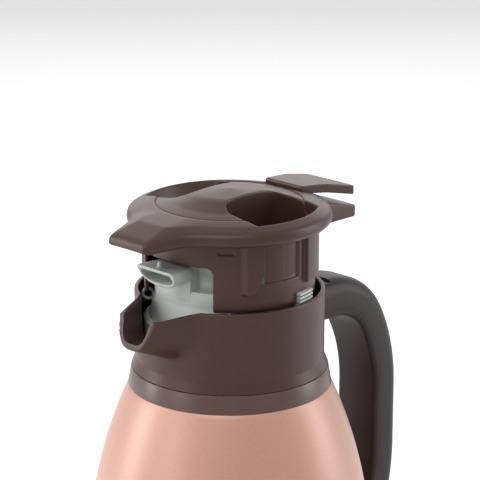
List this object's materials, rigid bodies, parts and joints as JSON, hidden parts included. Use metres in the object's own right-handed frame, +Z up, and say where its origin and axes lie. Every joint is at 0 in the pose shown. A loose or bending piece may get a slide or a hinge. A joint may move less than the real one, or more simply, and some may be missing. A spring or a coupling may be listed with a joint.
{
  "type": "vacuum carafe",
  "caption": "Insulated steel carafe with a pouring spout, side handle and a lift-out stopper lid whose thumb lever opens the pouring valve.",
  "frame": {"origin": "centre of the foot pad's underside, on the bottle's axis", "axes": "+Z up along the bottle's axis, spout towards -X, handle towards +X, mirror plane XZ"},
  "size_m": [0.171, 0.132, 0.2505],
  "materials": {
    "rose_paint": "satin pearl paint",
    "bare_steel": "satin",
    "brown_plastic": "fine moulded satin",
    "band_plastic": "satin",
    "handle_plastic": "fine moulded satin",
    "nozzle_plastic": "satin",
    "pale_silicone": "soft matte",
    "foot_silicone": "soft matte",
    "screw_steel": "plain",
    "solder": "dull",
    "getter_metal": "dull"
  },
  "bodies": {
    "carafe": {"foot_pad": "foot_silicone", "base_cap": "brown_plastic", "bottom_plate": "bare_steel", "evacuation_plug": "solder", "getter": "getter_metal", "outer_shell": "rose_paint", "inner_neck": "bare_steel", "inner_bottle": "bare_steel", "inner_base": "bare_steel", "neck_seal": "pale_silicone", "collar": "brown_plastic", "collar_band": "band_plastic", "handle_shell": "handle_plastic", "handle_cover": "handle_plastic", "handle_bracket": "bare_steel", "handle_screws": "screw_steel"},
    "lid": {"lid_cover": "brown_plastic", "grip_plate": "brown_plastic", "lever_pin": "screw_steel", "stopper_housing": "brown_plastic", "lid_screws": "screw_steel", "stopper_base": "nozzle_plastic", "stopper_gasket": "pale_silicone", "pour_nozzle": "nozzle_plastic", "stem_seal": "pale_silicone", "valve_spring": "screw_steel"},
    "lever": {"lever": "brown_plastic"},
    "valve": {"valve_stem": "nozzle_plastic", "valve_disc": "nozzle_plastic", "valve_seal": "pale_silicone"}
  },
  "joints": [
    {"name": "lid_lift", "type": "slide", "parent": "carafe", "child": "lid", "axis": [0, 0, 1], "range_m": [-0.03, 0.04]},
    {"name": "lever_press", "type": "hinge", "parent": "lid", "child": "lever", "pos_m": [0.03, 0, 0.239], "axis": [0, 1, 0], "range_deg": [0, 7]},
    {"name": "valve_lift", "type": "slide", "parent": "lid", "child": "valve", "axis": [0, 0, 1], "range_m": [0, 0.00366], "stiffness_N_per_m": 300, "springref_m": -0.012, "deforming": ["valve_spring"]}
  ],
  "couplings": [
    {"joint": "lever_press", "follows": "valve_lift", "rad_per_m": 33.333}
  ]
}
